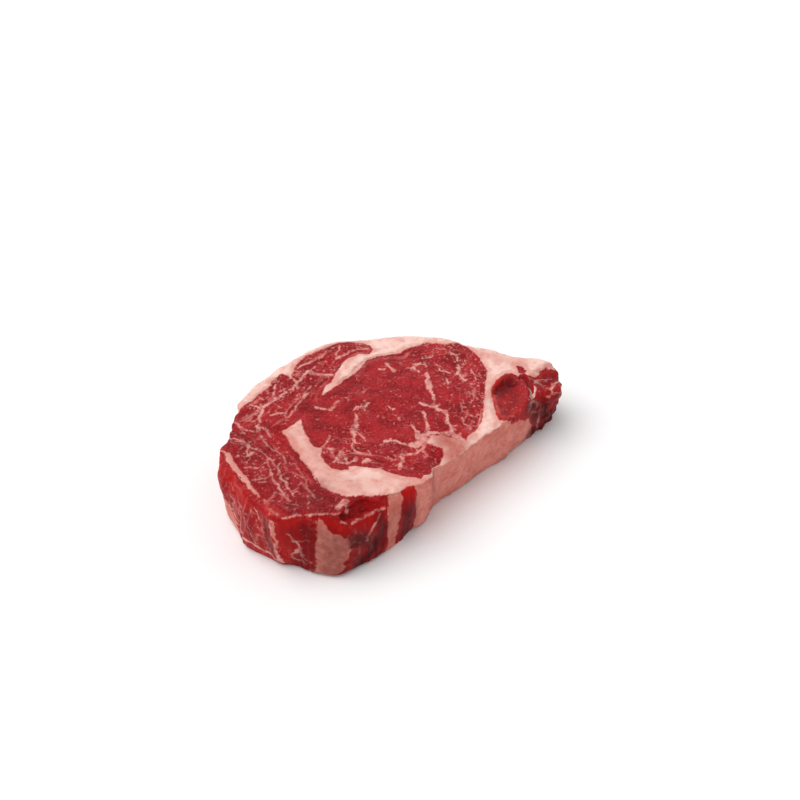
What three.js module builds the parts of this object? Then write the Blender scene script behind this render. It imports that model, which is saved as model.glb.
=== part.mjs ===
// A raw boneless ribeye steak, cut about 35 mm thick and lying on its lower cut face.
//
// Sizes are millimetres. +X runs along the straight fat side towards the narrow tail, +Y towards
// the rounded fat cap and +Z is up. The plan below is measured from a mark near the middle of the
// eye muscle. The finished solid is moved so that its origin is in the middle of its footprint, on
// the resting face.
//
// The steak is one closed skin. It starts as a lathed puck, whose rings run from the middle of the
// resting face out to the foot, up the cut side to the rim, and in over the upper face. Each ring
// is then laid on the steak's own outline, side and upper face.

import * as THREE from "three";
import { mergeVertices } from "three/addons/utils/BufferGeometryUtils.js";

// Driving sizes
const THICKNESS = 33.2; // at the mark
const FALL_ALONG = 0.05; // the upper face falls by this for each mm towards the tail
const FALL_ACROSS = 0.02; // and by this for each mm towards the fat cap
const EDGE_DROOP = 2.6; // the fat along the straight side sags by this
const DROOP_WIDTH = 9; // over this width
const RIM_ROUND = 1.6; // radius where the side meets the upper face
const FOOT_ROUND = 2.4; // radius where the side meets the resting face
const SIDE_BULGE = 1.4; // the middle of the side stands out by this
const UNEVEN = 0.4; // waviness of hand-cut faces

// The rings of the upper and the resting face close in on this line first, then on its middle.
const SPINE = { head: new THREE.Vector2(-38, 2), tail: new THREE.Vector2(52, -6) };
const HEAD_END = -82; // x of the steak's head end
const TAIL_END = 95; // and of its tail
const EVEN_REACH = 45; // usual distance from the rim to the spine
const SOFT_DEPTH = 14; // the rim's small corners have faded this far in
const SOFT_SPAN = 9; // ring points on each side that a corner fades into
const OUT_SPAN = 5; // ring points on each side that settle which way is out

// How finely the skin is divided
const AROUND = 144; // points on each ring
const BASE_RINGS = [38, 22, 8]; // distances in from the foot
const SIDE_RINGS = [0, 0.14, 0.28, 0.42, 0.56, 0.68, 0.78, 0.86, 0.93, 1]; // shares of the height
const TOP_RINGS = [1.6, 3.6, 5.8, 8.2, 11, 14, 17.5, 21.5, 26, 31, 36.5, 42.5]; // distances in from the rim

// The rim of the upper face, anticlockwise from above. Each point has its x, its y and how far the
// foot below it stands outside the rim, which is less than 0 where the side is undercut.
const RIM = {
  leftFat: [[-77, 24, 0], [-80.3, 17, 0.5], [-81, 3, 2], [-82.4, -8, 1], [-83.5, -18, -2]],
  gristleCorner: [[-82.6, -27.5, -5], [-79, -32, -4], [-72, -36.5, 0]],
  frontMuscle: [[-66, -39.5, 4], [-60.5, -43.5, 4.5], [-57.5, -45.5, 3]],
  tear: [[-54, -42.2, 7], [-48, -41.2, 8], [-42, -44, 5], [-37.5, -47.6, 1.5]],
  frontBlock: [[-32, -47.6, 1], [-26, -49.8, -3], [-20, -51.6, -6], [-12, -50.4, -6]],
  notch: [[-6.5, -47.8, -4], [-2.5, -45.2, -3.5], [1.5, -43.2, -5]],
  straightFat: [[10, -42.8, -7], [20, -40.2, -5], [32, -39.2, -6], [42, -37, -5], [54, -36, -4.5]],
  roundMuscle: [[61, -33.6, -4], [68, -30.8, -2.5]],
  tail: [[76, -30.4, -3.5], [83.5, -31.6, -6], [89.5, -27.5, -5.5], [93.5, -20, -1], [96, -11, 0]],
  tailFat: [[92, -4.5, 0], [85, 1.8, 0], [80.6, 8, 0.5], [79, 15, 0.5]],
  fatCap: [[71, 22.8, 0], [66.5, 32, 0], [55, 43.6, 0], [41, 53, -0.5], [28, 59, -1]],
  capRear: [[11, 66, -1], [-8, 64.6, -1], [-29, 59.6, -1], [-46.5, 53, 0]],
  capShoulder: [[-56, 44.4, 0], [-64, 36, 0], [-70.5, 29, 0]],
};

// Creases and ridges that run up the side, each from a place at the foot to one at the rim. A depth
// below 0 stands out.
const SIDE_FOLDS = [
  { name: "swell of the head end", foot: [-82, -8], rim: [-81, -15], width: 12, depth: -2.6 },
  { name: "gristle ridge", foot: [-78, -25.5], rim: [-81.5, -28.5], width: 2.4, depth: -1.6 },
  { name: "hollow behind the ridge", foot: [-81, -15], rim: [-82, -21], width: 4, depth: 1.2 },
  { name: "hollow before the ridge", foot: [-75, -34], rim: [-75, -35], width: 4.5, depth: 1 },
  { name: "lump of front fat", foot: [-62, -46], rim: [-57, -46], width: 4, depth: -1 },
  { name: "seam in the front block", foot: [-17, -45], rim: [-19, -51.6], width: 2.6, depth: 1.8 },
  { name: "fold at the notch", foot: [-4, -41], rim: [-3.5, -45], width: 3, depth: 1.6 },
  { name: "fold by the round muscle", foot: [56, -30], rim: [56, -36], width: 3, depth: 1.4 },
  { name: "fold between tail lobes", foot: [69, -28], rim: [71, -31], width: 3, depth: 1.6 },
  { name: "fold in the tail", foot: [79, -26], rim: [80, -31], width: 3, depth: 1.2 },
];

// The tear in the front side: the fat kernel's edge overhangs a slot above a loose flap.
const TEAR = { from: [-55, -44], to: [-42, -45], width: 6.5, flapShare: 0.78, slotShare: 0.9 };
const TEAR_DEPTH = 4.5;

// Grooves and forms of the upper face, each along a line. A rise below 0 is a groove.
const TOP_FORMS = [
  { name: "eye muscle's crown", line: [[0, 22], [22, 8], [34, 0]], width: 24, rise: 1 },
  { name: "seam round the eye", line: [[-20, 33], [-3, 37], [13, 43.5], [28, 43.5]], width: 3, rise: -0.6 },
  { name: "kernel of fat", line: [[-44, 14], [-46, -2], [-48, -20], [-46, -34]], width: 6, rise: 0.9 },
  { name: "kernel's foot", line: [[-46, -35], [-32, -41], [-27, -44]], width: 7, rise: 0.8 },
  { name: "cap muscle by the kernel", line: [[-54, 12], [-54, -8], [-59, -28]], width: 4, rise: -0.7 },
  { name: "cap muscle at the rear", line: [[-40, 38], [-15, 52], [15, 56]], width: 7, rise: 0.6 },
  { name: "fat above the eye", line: [[2, 40], [16, 45.5]], width: 3, rise: 0.5 },
  { name: "thin fat facet", line: [[12, -33], [17, -39]], width: 6, rise: -0.9 },
  { name: "sunken round muscle", line: [[51, -27], [60, -22], [66, -19]], width: 6, rise: -1.7 },
  { name: "its rear edge", line: [[52, -18.5], [58, -14], [69, -13]], width: 3.4, rise: -1.2 },
  { name: "cleft beside it", line: [[74, -12], [70.5, -20], [70, -31]], width: 3.6, rise: -1.6 },
  { name: "tail lobe", line: [[79, -24], [87, -24]], width: 5, rise: 0.7 },
];

const bell = (distance, width) => Math.exp(-((distance / width) ** 2));

// How far a place in plan is from a line through points.
function distanceToLine(x, y, points) {
  let nearest = Infinity;
  for (let i = 0; i + 1 < points.length; i++) {
    const [startX, startY] = points[i];
    const alongX = points[i + 1][0] - startX;
    const alongY = points[i + 1][1] - startY;
    const length = Math.hypot(alongX, alongY);
    const along = ((x - startX) * alongX + (y - startY) * alongY) / length ** 2;
    const share = THREE.MathUtils.clamp(along, 0, 1);
    nearest = Math.min(nearest, Math.hypot(x - startX - share * alongX, y - startY - share * alongY));
  }
  return nearest;
}

// Slow waves from -1 to 1 that keep a hand-cut face from being dead flat.
function waves(x, y, z) {
  const first = Math.sin(x * 0.19 + y * 0.07 + 1.3);
  const second = Math.sin(y * 0.23 - x * 0.06 + z * 0.11);
  const third = Math.sin((x + y) * 0.31 + z * 0.17 + 2.1);
  return (first + second + third) / 3;
}

// Height of the upper face at a place in plan.
function topHeight(x, y) {
  const nearSide = THREE.MathUtils.smoothstep(-y, 42 - DROOP_WIDTH, 42);
  const droop = EDGE_DROOP * nearSide * THREE.MathUtils.smoothstep(x, -8, 4);
  let z = THICKNESS - FALL_ALONG * x - FALL_ACROSS * y - droop + UNEVEN * waves(x, y, 0);
  for (const form of TOP_FORMS) {
    z += form.rise * bell(distanceToLine(x, y, form.line), form.width);
  }
  return z;
}

// The rim at even steps, each point with its outward direction and its foot's reach.
function rimPoints() {
  const points = Object.values(RIM).flat().map(([x, y, reach]) => new THREE.Vector3(x, y, reach));
  const curve = new THREE.CatmullRomCurve3(points, true, "centripetal");
  const steps = curve.getSpacedPoints(AROUND).slice(0, AROUND);
  return steps.map((point, i) => {
    const before = steps[(i + AROUND - OUT_SPAN) % AROUND];
    const after = steps[(i + OUT_SPAN) % AROUND];
    const out = new THREE.Vector2(after.y - before.y, before.x - after.x).normalize();
    return { x: point.x, y: point.y, footReach: point.z, out };
  });
}

// How far the side stands out from the rim at a share of its height, 0 at the foot.
function sideReach(point, share) {
  const tear = bell(distanceToLine(point.x, point.y, [TEAR.from, TEAR.to]), TEAR.width);
  const plain = point.footReach * (1 - share);
  const flap = point.footReach * (1 - THREE.MathUtils.smoothstep(share, TEAR.flapShare, 1));
  let reach = THREE.MathUtils.lerp(plain, flap, tear) + SIDE_BULGE * Math.sin(Math.PI * share);
  reach -= TEAR_DEPTH * tear * bell(share - TEAR.slotShare, 0.06);
  const x = point.x + point.out.x * reach;
  const y = point.y + point.out.y * reach;
  for (const fold of SIDE_FOLDS) {
    const foldX = THREE.MathUtils.lerp(fold.foot[0], fold.rim[0], share);
    const foldY = THREE.MathUtils.lerp(fold.foot[1], fold.rim[1], share);
    reach -= fold.depth * bell(Math.hypot(x - foldX, y - foldY), fold.width);
  }
  return reach + UNEVEN * waves(point.x, point.y, THICKNESS * share);
}

// The loop around the side at a share of its height.
function sideLoop(rim, share) {
  return rim.map((point) => {
    const reach = sideReach(point, share);
    const top = topHeight(point.x, point.y) - RIM_ROUND;
    const z = THREE.MathUtils.lerp(FOOT_ROUND, top, share);
    return new THREE.Vector3(point.x + point.out.x * reach, point.y + point.out.y * reach, z);
  });
}

// The plan of a loop taken in from an edge towards the spine by a distance.
function takenIn(edge, distance) {
  const middle = new THREE.Vector2().lerpVectors(SPINE.head, SPINE.tail, 0.5);
  return edge.map((corner, i) => {
    const soft = new THREE.Vector2();
    for (let k = -SOFT_SPAN; k <= SOFT_SPAN; k++) {
      soft.add(edge[(i + k + AROUND) % AROUND]);
    }
    soft.divideScalar(2 * SOFT_SPAN + 1);
    const place = new THREE.Vector2(corner.x, corner.y);
    place.lerp(soft, Math.min(1, distance / SOFT_DEPTH));
    const along = (place.x - HEAD_END) / (TAIL_END - HEAD_END);
    const target = new THREE.Vector2().lerpVectors(SPINE.head, SPINE.tail, along);
    const evened = THREE.MathUtils.lerp(EVEN_REACH, place.distanceTo(target), 0.5);
    const share = Math.min(1, distance / evened);
    target.lerp(middle, share ** 2);
    return place.lerp(target, share);
  });
}

// How far the round of an edge lies back at a distance in from the side.
function edgeRound(radius, distance) {
  const short = Math.max(0, 1 - distance / radius);
  return radius * (1 - Math.sqrt(1 - short ** 2));
}

// A loop of the upper face, a distance in from the rim.
function topLoop(edge, distance) {
  return takenIn(edge, distance).map(({ x, y }) => {
    return new THREE.Vector3(x, y, topHeight(x, y) - edgeRound(RIM_ROUND, distance));
  });
}

// A loop of the resting face, a distance in from the foot.
function baseLoop(edge, distance) {
  return takenIn(edge, distance).map(({ x, y }) => {
    return new THREE.Vector3(x, y, edgeRound(FOOT_ROUND, distance));
  });
}

// The loops of the skin, from the resting face's middle to the crown.
function skinLoops() {
  const rim = rimPoints();
  const side = SIDE_RINGS.map((share) => sideLoop(rim, share));
  const turn = 1 - Math.SQRT1_2; // halfway round a quarter circle
  const centre = Infinity;
  const baseDistances = [centre, ...BASE_RINGS, FOOT_ROUND, FOOT_ROUND * turn];
  const topDistances = [RIM_ROUND * turn, ...TOP_RINGS, centre];
  return [
    ...baseDistances.map((distance) => baseLoop(side[0], distance)),
    ...side,
    ...topDistances.map((distance) => topLoop(side[side.length - 1], distance)),
  ];
}

// The whole closed skin, its faces pointing out.
function steakGeometry() {
  const loops = skinLoops();
  const profile = loops.map((_, i) => {
    const turn = (Math.PI * i) / (loops.length - 1);
    return new THREE.Vector2(Math.sin(turn), -Math.cos(turn));
  });
  const puck = new THREE.LatheGeometry(profile, AROUND);
  const { position, uv } = puck.attributes;
  for (let i = 0; i < position.count; i++) {
    const step = Math.round(uv.getX(i) * AROUND) % AROUND;
    const loop = Math.round(uv.getY(i) * (loops.length - 1));
    position.setXYZ(i, ...loops[loop][step]);
  }
  puck.deleteAttribute("normal");
  puck.deleteAttribute("uv");
  puck.computeBoundingBox();
  const footprint = puck.boundingBox.getCenter(new THREE.Vector3());
  puck.translate(-footprint.x, -footprint.y, 0);
  const skin = mergeVertices(puck);
  skin.computeVertexNormals();
  return skin;
}

const rawBeef = new THREE.MeshStandardMaterial({ color: 0xa8323a, roughness: 0.42, metalness: 0 });

const steak = new THREE.Mesh(steakGeometry(), rawBeef);
steak.name = "steak";

const model = new THREE.Group();
model.add(steak);

export default model;
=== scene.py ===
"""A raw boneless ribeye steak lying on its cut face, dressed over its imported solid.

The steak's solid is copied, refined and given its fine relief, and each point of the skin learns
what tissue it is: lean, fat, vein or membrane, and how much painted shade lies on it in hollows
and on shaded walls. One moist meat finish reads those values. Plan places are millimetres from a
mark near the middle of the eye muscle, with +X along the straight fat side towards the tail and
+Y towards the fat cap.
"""

from __future__ import annotations

import logging
import math
from dataclasses import dataclass, field
from enum import Enum

import bmesh
import bpy
import numpy as np
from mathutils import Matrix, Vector

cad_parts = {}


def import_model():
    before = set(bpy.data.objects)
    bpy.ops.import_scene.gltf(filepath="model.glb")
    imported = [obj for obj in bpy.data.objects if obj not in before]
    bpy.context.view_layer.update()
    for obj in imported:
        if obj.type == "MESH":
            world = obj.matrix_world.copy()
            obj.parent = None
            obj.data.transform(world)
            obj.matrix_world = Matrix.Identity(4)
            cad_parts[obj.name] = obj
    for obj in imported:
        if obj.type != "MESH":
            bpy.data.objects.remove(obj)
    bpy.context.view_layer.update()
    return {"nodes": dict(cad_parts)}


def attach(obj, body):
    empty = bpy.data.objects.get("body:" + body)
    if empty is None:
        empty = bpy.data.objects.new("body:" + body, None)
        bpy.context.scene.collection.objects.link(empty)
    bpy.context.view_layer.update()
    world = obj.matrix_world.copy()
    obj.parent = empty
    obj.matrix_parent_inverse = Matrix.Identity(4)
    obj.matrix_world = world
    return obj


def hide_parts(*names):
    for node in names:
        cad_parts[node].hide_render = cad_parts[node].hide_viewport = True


LOG = logging.getLogger("steak")

MM = 0.001
MARK = (-5.369, -8.153)  # the eye muscle's mark in the steak's own frame, mm
TWIG_SPACING = 6.5  # how far apart twigs leave a vein, mm
TWIG_SHARE = 0.5  # a twig's half width as a share of its vein's
TWIG_WIDEST = 0.35  # the widest twig's half width, mm
TWIG_ROOT = (0.1, 0.9)  # where along a stretch of vein a twig may leave it
TWIG_TURN = (0.5, 1.3)  # how far it may turn away, radians
TWIG_REACH = (1.2, 4.0)  # how long it may be, mm
TWIG_BEND = (-0.4, 0.4)  # how far its middle may bend, mm
TWIG_SEED = 72
NOISE_CELLS = 48  # lattice cells before noise repeats

TOP_HEIGHT = 33.2  # the upper face's height at the mark, mm
TOP_FALL = (0.05, 0.02)  # how far it falls for each mm along X and along Y
FRONT_BORDER = -28.0  # where the front side ends at the corner ridge, mm along Y
FRONT_WIDENING = 20.0  # how much farther back it ends along the straight side, mm
FRONT_BLUR = 0.8  # half the width of that border, mm
NO_LEAN = -30.0  # a depth in lean far outside all of it, mm
NO_VEIN = -10.0  # a depth in a vein far outside all of them, mm
REAR_LEAN = -6.0  # the depth in lean that counts over the rear's fat, mm

# Soft borders, each as the value where it starts and the value where it is full. In mm:
TEAR_LEFT = (-62, -58)
TEAR_RIGHT = (-31, -34)
TEAR_ACROSS = (-39, -41)
TEAR_SUNK = (2.4, 3.4)
RIDGE_ALONG = (-76, -66)
HEAD_ALONG = (-58, -61)
REAR_ALONG = (-66, -36)
DISH_ALONG = (40, 46)
TAIL_ALONG = (70, 76)
TAIL_ACROSS = (-9, -14)
LEAN_BORDER = (-0.5, 0.5)
VEIN_BORDER = (-0.5, 0.4)
# As the upward part of an outward direction:
FLAT_FACING = (0.45, 0.75)
TOP_FACING = (0.4, 0.7)
UNDER_FACING = (-0.5, -0.9)

# The sockets of a Mix node for colours, whose names repeat: its factor, its colours, its result.
MIX_SHARE, MIX_FIRST, MIX_SECOND, MIX_RESULT = 0, 6, 7, 2

Points = list[tuple[float, ...]]
Colour = tuple[float, float, float, float]


class Tint(Enum):
    """A colour laid over the tissue, by the name of its value on the skin."""

    # Mostly painted shade in folds, the tear's slot, under overhangs and on shaded side walls;
    # partly darker tissue.
    DARK = "dark"
    WARM = "warm"
    MEMBRANE = "membrane"
    MARBLE = "marble"
    # The side's colours: a pinker cast, partly darkened as painted shade of the side walls.
    ROSY = "rosy"


DARK, WARM, MEMBRANE, MARBLE, ROSY = Tint


@dataclass(frozen=True)
class Vein:
    """A thread of fat that runs along points, with its half width at the middle, in mm."""

    half_width: float
    points: Points


@dataclass(frozen=True)
class Hollow:
    """A fold or seam on the upper face: its depth, its half width and the strength of its painted
    shade.
    """

    depth: float
    half_width: float
    shade: float
    points: Points


@dataclass(frozen=True)
class Stain:
    """A soft streak of one tint along points, with its strength and its half width in mm."""

    tint: Tint
    strength: float
    half_width: float
    points: Points


# The muscles of the upper face, as closed outlines in plan.
MUSCLES: dict[str, Points] = {
    "eye": [
        (-33, 24), (-38, 13), (-40.5, 5), (-41.5, 0), (-38.5, -3.5), (-42, -7), (-44, -13),
        (-43.5, -18), (-41, -21), (-37, -22.5), (-35.5, -20.8), (-32, -24), (-27, -29.5),
        (-25, -31.5), (-23.5, -36), (-19.5, -42), (-14, -47.5), (-11, -45.5), (-8.5, -47),
        (-3, -43), (2, -41), (7, -37.5), (8.3, -34.5), (6, -31), (4.5, -27.5), (9, -25.5),
        (13.5, -27), (17, -31), (20.5, -36.5), (24, -34.8), (29, -34), (35, -31), (40, -26),
        (45, -20.5), (50, -15.5), (55, -9.5), (60, -5), (64, 0), (67, 8), (69, 15), (69.3, 21),
        (67, 27), (62, 30), (58, 33), (53, 37), (45, 38), (38, 37), (33, 39), (27, 41.8),
        (20, 42), (13, 38), (5, 35), (-3, 33.2), (-8, 31.8), (-15, 30), (-20, 33), (-27, 31),
    ],
    "cap": [
        (-86, -16), (-81, -14.4), (-80.3, -10.6), (-79.4, -4.2), (-78.5, 1.7), (-78, 7.3),
        (-77.5, 12.5), (-75.4, 18.6), (-76.6, 23), (-84, 34), (-68, 50), (-57, 44.5), (-48, 46),
        (-40, 49), (-33, 51), (-28, 55), (-21.5, 57), (-20, 51), (-17, 53.5), (-12, 58), (-8, 60),
        (-3, 62), (10, 62.3), (16, 62), (22, 60), (26, 56.5), (29, 52), (28.5, 48), (25, 46),
        (20, 48.5), (13, 48.2), (8, 46.3), (4, 44), (0, 41), (-3, 38.3), (-6, 36), (-9.5, 35.2),
        (-13, 33), (-19, 27), (-25, 25), (-33, 20.5), (-42, 19.4), (-47, 18.2), (-48.2, 10.7),
        (-49.5, 4.6), (-50.3, -1.7), (-51.3, -8.1), (-52.1, -14.2), (-53.4, -18.4),
        (-54.3, -22.1), (-54.2, -26), (-53.6, -30.2), (-52.4, -33.8), (-51.4, -36.6),
        (-50.2, -38.7), (-48, -40), (-43.4, -42.2), (-40, -44.2), (-36, -46.8), (-32, -47.7),
        (-30.6, -49), (-30, -58), (-60, -56), (-74, -44), (-90, -34),
    ],
    "head edge": [
        (-77, 23), (-79.6, 15.5), (-80.5, 8.8), (-81.2, 1.5), (-81.6, -5.1), (-81.9, -11.7),
        (-82, -16), (-95, -18), (-95, 24),
    ],
    "front strip": [(-27.2, -48.6), (-23, -48), (-19.6, -49), (-19, -58), (-28, -58)],
    "round tail muscle": [
        (43.5, -34.5), (45, -30), (48.5, -24.4), (52.2, -18.4), (56, -13), (60.4, -9.4),
        (65, -7.8), (70, -7.1), (73.6, -8.3), (75.5, -11.2), (75.2, -15.3), (74, -20),
        (71.4, -25), (66.7, -29.6), (62.9, -33), (59, -38), (48, -38),
    ],
    "outer tail muscle": [
        (73.6, -20.6), (74.4, -16), (76.6, -14.4), (79.6, -15.4), (81.6, -17.6), (83.6, -17.2),
        (86, -14.6), (90.4, -14.6), (92, -19), (97, -20), (99, -38), (76, -38), (68.5, -34),
        (71, -29.5), (74.6, -25.4),
    ],
    "tail fleck": [(76.9, -9.9), (78, -8), (79.2, -4.9), (81.2, -6.6), (80.8, -10.6),
        (78.6, -12.6)],
}

# Veins of fat in the cap muscle.
CAP_VEINS: list[Vein] = [
    Vein(0.35, [(-65.5, 20), (-63.4, 12), (-63, 5), (-64, -3), (-66, -10), (-68, -20),
        (-68.6, -23)]),
    Vein(0.2, [(-66.5, 2), (-68.4, -6), (-70.6, -15), (-71, -21)]),
    Vein(0.35, [(-71, 31), (-66.5, 24), (-65.5, 18), (-70, 12)]),
    Vein(0.4, [(-61, 37), (-61, 31), (-57, 26), (-50, 33), (-45.5, 37.5), (-47, 44)]),
    Vein(0.55, [(-51, 33), (-45, 38), (-36, 41), (-28, 43)]),
    Vein(0.35, [(-36, 41), (-33, 46), (-30, 51)]),
    Vein(0.5, [(-25, 43), (-19, 47), (-10, 50), (-5, 52.5)]),
    Vein(0.35, [(-20, 51), (-19.5, 47), (-22, 42)]),
    Vein(0.5, [(8, 51), (15, 52), (22, 52.5), (27, 49)]),
    Vein(0.3, [(7, 51), (11, 55), (15, 59)]),
    Vein(1.1, [(-8.5, 49), (-6, 45), (-2.5, 41)]),
    Vein(0.3, [(-12, 56), (-4, 57), (5, 57)]),
    Vein(0.2, [(-76, 6), (-71, 3), (-66, 4), (-63, 6)]),
    Vein(0.3, [(-77, -3), (-72, -6), (-67, -5)]),
    Vein(0.3, [(-74, 16), (-70, 12), (-66, 13)]),
    Vein(0.15, [(-60, -9), (-57, -16), (-60, -22), (-62, -30)]),
    Vein(0.2, [(-57, 22), (-58, 13), (-56, 5), (-58, -2)]),
    Vein(0.2, [(-72, -20), (-73, -26), (-70, -31)]),
    Vein(0.3, [(-54, 30), (-52, 24), (-54, 18)]),
    Vein(0.25, [(-44, 32), (-38, 30), (-31, 33)]),
    Vein(0.25, [(-40, 25), (-33, 28), (-27, 33), (-21, 36)]),
    Vein(0.3, [(-15, 40), (-21, 37), (-26, 38)]),
    Vein(0.15, [(-77.5, -19), (-74, -17), (-72, -20)]),
    Vein(0.15, [(-63, -26), (-66, -31), (-69, -34)]),
]
# Veins of the eye muscle, then of the tail, then a lump of fat at the tear. Twigs leave them.
EYE_VEINS: list[Vein] = [
    Vein(0.75, [(26, 33.5), (25.5, 29.5), (25.7, 26)]),
    Vein(0.55, [(20.2, 31.6), (22, 30.4)]),
    Vein(0.5, [(35, 19), (34.6, 23), (38, 25), (41.5, 22.5), (41, 20)]),
    Vein(1.0, [(37, 15), (35.6, 11), (33, 8), (31, 4)]),
    Vein(0.35, [(39, 17), (36, 14), (34.5, 15.5)]),
    Vein(0.75, [(30, 2), (28.6, -1), (27, -4.5)]),
    Vein(0.8, [(21, -2.5), (21, -6), (24, -9), (27, -8)]),
    Vein(0.7, [(24, -9), (26, -15), (22.5, -22), (19, -28.5), (20, -35)]),
    Vein(1.3, [(14.5, -26), (19, -29), (20.3, -35)]),
    Vein(0.6, [(56, 13.5), (54, 9), (51, 5), (50, 0)]),
    Vein(0.4, [(43.5, 6.5), (41, 2)]),
    Vein(0.5, [(17, -8), (15, -13), (12, -19), (9, -23)]),
    Vein(0.8, [(6, -14), (5, -20), (3, -23.5)]),
    Vein(1.9, [(-1, -25.6), (4, -25.8), (9, -27), (11.5, -30)]),
    Vein(1.2, [(3, -23), (8, -22.6), (13, -24)]),
    Vein(0.55, [(-14, -16), (-10, -16), (-6, -18), (-5, -22), (-3, -26), (2, -26)]),
    Vein(0.55, [(-10, -28), (-14, -32), (-18, -36.5)]),
    Vein(0.5, [(-10, -28), (-5, -31), (0, -30.5), (4, -29)]),
    Vein(0.6, [(-10, 9), (-12, 6), (-16, 2), (-19, 0), (-22, -5), (-23, -9)]),
    Vein(0.3, [(-19, 0), (-17, -6), (-18, -10)]),
    Vein(0.5, [(-9, 12), (-7, 14), (-4, 11), (-1, 12.3)]),
    Vein(0.6, [(-19, 19), (-15, 20), (-12, 21.8)]),
    Vein(0.5, [(-23, 25), (-22.4, 22), (-20.5, 20.5)]),
    Vein(0.25, [(6, 5), (7, 1)]),
    Vein(0.3, [(5, -4), (3.6, -6)]),
    Vein(0.3, [(-30, 3), (-35, -1), (-38, -3.5), (-35, -7)]),
    Vein(0.55, [(-37, -12), (-38.3, -15), (-36, -18), (-32, -19.3), (-29, -17)]),
    Vein(0.3, [(-25, -8), (-27, -12), (-26, -16)]),
    Vein(0.6, [(-25, -22), (-28.5, -22.6)]),
    Vein(0.25, [(44, 28), (49, 26), (52, 29)]),
    Vein(0.25, [(57, 24), (60, 19), (58, 16)]),
    Vein(0.3, [(47, 19), (45, 14), (48, 10)]),
    Vein(0.25, [(58, 4), (55, -1), (52, -3)]),
    Vein(0.3, [(36, -14), (33, -19), (35, -24)]),
    Vein(0.3, [(30, -22), (28, -27), (31, -31)]),
    Vein(0.4, [(76.5, -14.5), (79, -19), (82.8, -21.5), (83, -24)]),
    Vein(0.3, [(79, -19), (77.6, -24), (79.5, -28)]),
    Vein(0.7, [(81, -29.8), (84, -29), (88, -26.8)]),
    Vein(1.5, [(-56, -41.4), (-53.8, -40.4), (-51.9, -41.6)]),
]

# Seams and folds of the upper face, sunk into the relief and darkened with painted shade.
HOLLOWS: list[Hollow] = [
    Hollow(0.35, 0.6, 0.15, [(-20, 29), (-27, 26), (-34, 22.5), (-45, 18.8)]),
    Hollow(0.3, 0.5, 0.1, [(-4, 33.6), (3, 36), (12, 40.3), (19, 43), (27, 42.8), (35, 39.3)]),
    Hollow(0.6, 1.0, 0.25, [(-49.5, 8), (-51.2, -6), (-52.9, -16), (-55, -23), (-54, -31)]),
    Hollow(1.0, 1.6, 0.75, [(57, -15.2), (61, -13.2), (66, -12), (71, -13)]),
    Hollow(1.7, 1.0, 0.7, [(76.2, -12.6), (75.6, -17.8), (73.4, -22.2), (70.8, -27), (68, -30.4)]),
    Hollow(0.8, 0.9, 0.4, [(83, -17.6), (80.6, -22), (81.4, -27)]),
    Hollow(0.5, 0.9, 0.3, [(-77, 20), (-70, 28), (-63, 35.5)]),
    Hollow(0.5, 1.1, 0.5, [(-50, -41.5), (-46, -42.8)]),
    Hollow(0.5, 1.1, 0.5, [(-61, -37.5), (-57.4, -36.6), (-55, -38.6)]),
]
# Tints of the upper face. Its dark stains are mostly painted shade, as in the tail's crevice;
# partly darker tissue.
FACE_STAINS: list[Stain] = [
    Stain(DARK, 0.17, 7, [(13.5, -32), (15, -38), (10, -41)]),
    Stain(WARM, 0.9, 1.7, [(44.5, -32), (48.5, -25.8), (52.4, -19.8), (57, -12), (64, -8.8)]),
    Stain(WARM, 0.4, 2.6, [(48, -34), (56, -34), (64, -30)]),
    Stain(DARK, 0.5, 3.2, [(58, -17), (63, -14.6), (69, -14)]),
    Stain(WARM, 0.55, 3.6, [(82, -18), (87, -17), (91, -20), (91, -25)]),
    Stain(WARM, 0.25, 7.0, [(54, -24), (62, -18)]),
    Stain(DARK, 0.14, 8.0, [(54, -24), (62, -20)]),
    Stain(WARM, 0.7, 1.8, [(-25, -49), (-21, -49.5)]),
    Stain(WARM, 0.5, 2.2, [(-82, -14), (-83, -22), (-80, -30)]),
    Stain(WARM, 0.35, 3.0, [(-35, -49), (-31.5, -49)]),
    Stain(MARBLE, 0.75, 12, [(-62, 20), (-66, 0), (-68, -18)]),
    Stain(DARK, 0.42, 7.0, [(-72, -29), (-61, -36), (-57, -26)]),
    Stain(DARK, 0.18, 10.0, [(-62, 22), (-68, 4), (-67, -14)]),
    Stain(DARK, 0.45, 6.0, [(80, -22), (90, -20)]),
    Stain(MEMBRANE, 0.35, 0.6, [(-4, 33.8), (3, 35.8), (12, 40), (19, 42.8), (28, 42.5), (36, 39)]),
    Stain(ROSY, 1.0, 7, [(13.5, -32), (15, -38), (10, -41)]),
    Stain(ROSY, 0.5, 7, [(-46, 16), (-46, -4), (-48, -24), (-44, -36)]),
    Stain(ROSY, 0.35, 9, [(-40, -36), (-24, -42)]),
    Stain(ROSY, 0.55, 3, [(-77, 22), (-79, 8), (-80, -6), (-81, -14)]),
    Stain(ROSY, 0.5, 5, [(-24, -46), (-14, -50)]),
    Stain(ROSY, 0.45, 4, [(72, 12), (77, 2), (84, -4)]),
    Stain(MARBLE, 1.0, 10, [(58, 26), (60, 12), (50, -8), (38, -26)]),
    Stain(MARBLE, 0.8, 8, [(42, 30), (46, 14), (42, 0)]),
    Stain(MARBLE, 0.75, 9, [(-36, -8), (-26, -18), (-16, -30), (-4, -34)]),
    Stain(MARBLE, 0.8, 13, [(20, 55), (-12, 50), (-40, 40), (-58, 28)]),
]

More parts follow.
